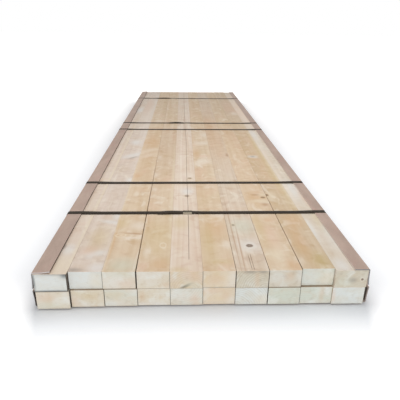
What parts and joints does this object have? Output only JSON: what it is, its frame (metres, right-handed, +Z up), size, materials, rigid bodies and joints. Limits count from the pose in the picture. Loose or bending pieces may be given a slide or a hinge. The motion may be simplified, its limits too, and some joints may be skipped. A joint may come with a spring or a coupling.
{
  "type": "bundle of pine studs",
  "caption": "Strapped bundle of planed pine studs laid flat in layers, with cardboard angles along its long edges under the straps.",
  "frame": {"origin": "middle of the bundle's footprint, on the floor", "axes": "+X across the bundle, to the right as seen from its front end; +Y along the studs, from the front end to the back; +Z up"},
  "size_m": [0.644, 2.412, 0.0852],
  "materials": {
    "pine": "planed, unfinished",
    "cardboard": "laminated paperboard, matt",
    "strap": "extruded polyester strap, semi-gloss",
    "seal": "galvanised sheet"
  },
  "bodies": {
    "root": {"stud_upper_01": "pine", "stud_upper_02": "pine", "stud_upper_03": "pine", "stud_upper_04": "pine", "stud_upper_05": "pine", "stud_upper_06": "pine", "stud_upper_07": "pine", "stud_upper_08": "pine", "stud_upper_09": "pine", "stud_upper_10": "pine", "stud_lower_01": "pine", "stud_lower_02": "pine", "stud_lower_03": "pine", "stud_lower_04": "pine", "stud_lower_05": "pine", "stud_lower_06": "pine", "stud_lower_07": "pine", "stud_lower_08": "pine", "stud_lower_09": "pine", "stud_lower_10": "pine", "edge_protector_top_left": "cardboard", "edge_protector_top_right": "cardboard", "edge_protector_bottom_left": "cardboard", "edge_protector_bottom_right": "cardboard", "strap_1": "strap", "strap_2": "strap", "strap_3": "strap", "strap_4": "strap", "strap_5": "strap", "strap_seal_1": "seal", "strap_seal_4": "seal", "strap_seal_5": "seal"}
  },
  "joints": []
}
